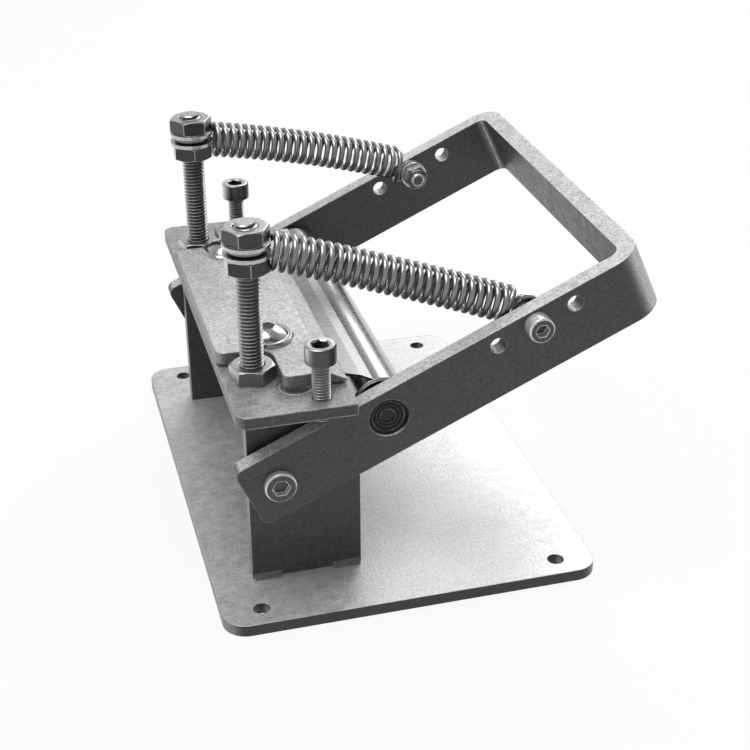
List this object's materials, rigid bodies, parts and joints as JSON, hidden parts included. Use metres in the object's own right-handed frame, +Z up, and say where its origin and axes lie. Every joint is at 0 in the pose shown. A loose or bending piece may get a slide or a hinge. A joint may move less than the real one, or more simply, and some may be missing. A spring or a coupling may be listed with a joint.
{
  "type": "leather_splitting_machine",
  "caption": "Bench leather splitter: steel base and uprights, clamped fixed blade, sprung U-shaped lever carrying a free-turning roller under the cutting edge",
  "frame": {"origin": "centre of the four base holes, on the underside of the base plate", "axes": "+X from the studs to the lever's cross bar, +Y along the blade, +Z up out of the base plate"},
  "size_m": [0.1492, 0.178, 0.1245],
  "materials": {
    "base_plate": "satin ground steel",
    "upright_near": "satin ground steel",
    "upright_far": "satin ground steel",
    "top_plate": "satin ground steel",
    "blade": "ground and polished",
    "clamp_plate": "satin ground steel",
    "clamp_screws": "bright plated",
    "spring_studs": "bright plated",
    "stud_base_nuts": "bright plated",
    "stud_lower_nuts": "bright plated",
    "stud_top_nuts": "bright plated",
    "stud_washers": "bright plated",
    "pivot_screws": "dark oxide",
    "pivot_washers": "satin",
    "spring_near": "bright plated",
    "spring_far": "bright plated",
    "handle_frame": "satin ground steel",
    "bearing_outer_rings": "bright plated",
    "bearing_balls": "bright plated",
    "anchor_screws": "dark oxide",
    "anchor_washers": "bright plated",
    "anchor_nuts": "bright plated",
    "roller": "ground and polished",
    "bearing_inner_rings": "bright plated",
    "adjusting_screw_near": "dark oxide",
    "adjusting_screw_far": "dark oxide"
  },
  "bodies": {
    "stand": {"base_plate": "base_plate", "upright_near": "upright_near", "upright_far": "upright_far", "top_plate": "top_plate", "blade": "blade", "clamp_plate": "clamp_plate", "clamp_screws": "clamp_screws", "spring_studs": "spring_studs", "stud_base_nuts": "stud_base_nuts", "stud_lower_nuts": "stud_lower_nuts", "stud_top_nuts": "stud_top_nuts", "stud_washers": "stud_washers", "pivot_screws": "pivot_screws", "pivot_washers": "pivot_washers", "spring_near": "spring_near", "spring_far": "spring_far"},
    "lever": {"handle_frame": "handle_frame", "bearing_outer_rings": "bearing_outer_rings", "bearing_balls": "bearing_balls", "anchor_screws": "anchor_screws", "anchor_washers": "anchor_washers", "anchor_nuts": "anchor_nuts"},
    "roller_set": {"roller": "roller", "bearing_inner_rings": "bearing_inner_rings"},
    "screw_near": {"adjusting_screw_near": "adjusting_screw_near"},
    "screw_far": {"adjusting_screw_far": "adjusting_screw_far"}
  },
  "joints": [
    {"name": "lever_pivot", "type": "hinge", "parent": "stand", "child": "lever", "pos_m": [-0.04087, 0, 0.04386], "axis": [0, 1, 0], "range_deg": [0, 38], "stiffness_Nm_per_rad": 30, "springref_deg": -5.73, "deforming": ["spring_near", "spring_far"]},
    {"name": "roller_spin", "type": "hinge", "parent": "lever", "child": "roller_set", "pos_m": [-0.00532, 0, 0.06232], "axis": [0, 1, 0], "continuous": true},
    {"name": "adjusting_screw_near_travel", "type": "slide", "parent": "stand", "child": "screw_near", "axis": [0, 0, 1], "range_m": [0, 0.007]},
    {"name": "adjusting_screw_far_travel", "type": "slide", "parent": "stand", "child": "screw_far", "axis": [0, 0, 1], "range_m": [0, 0.007]}
  ]
}
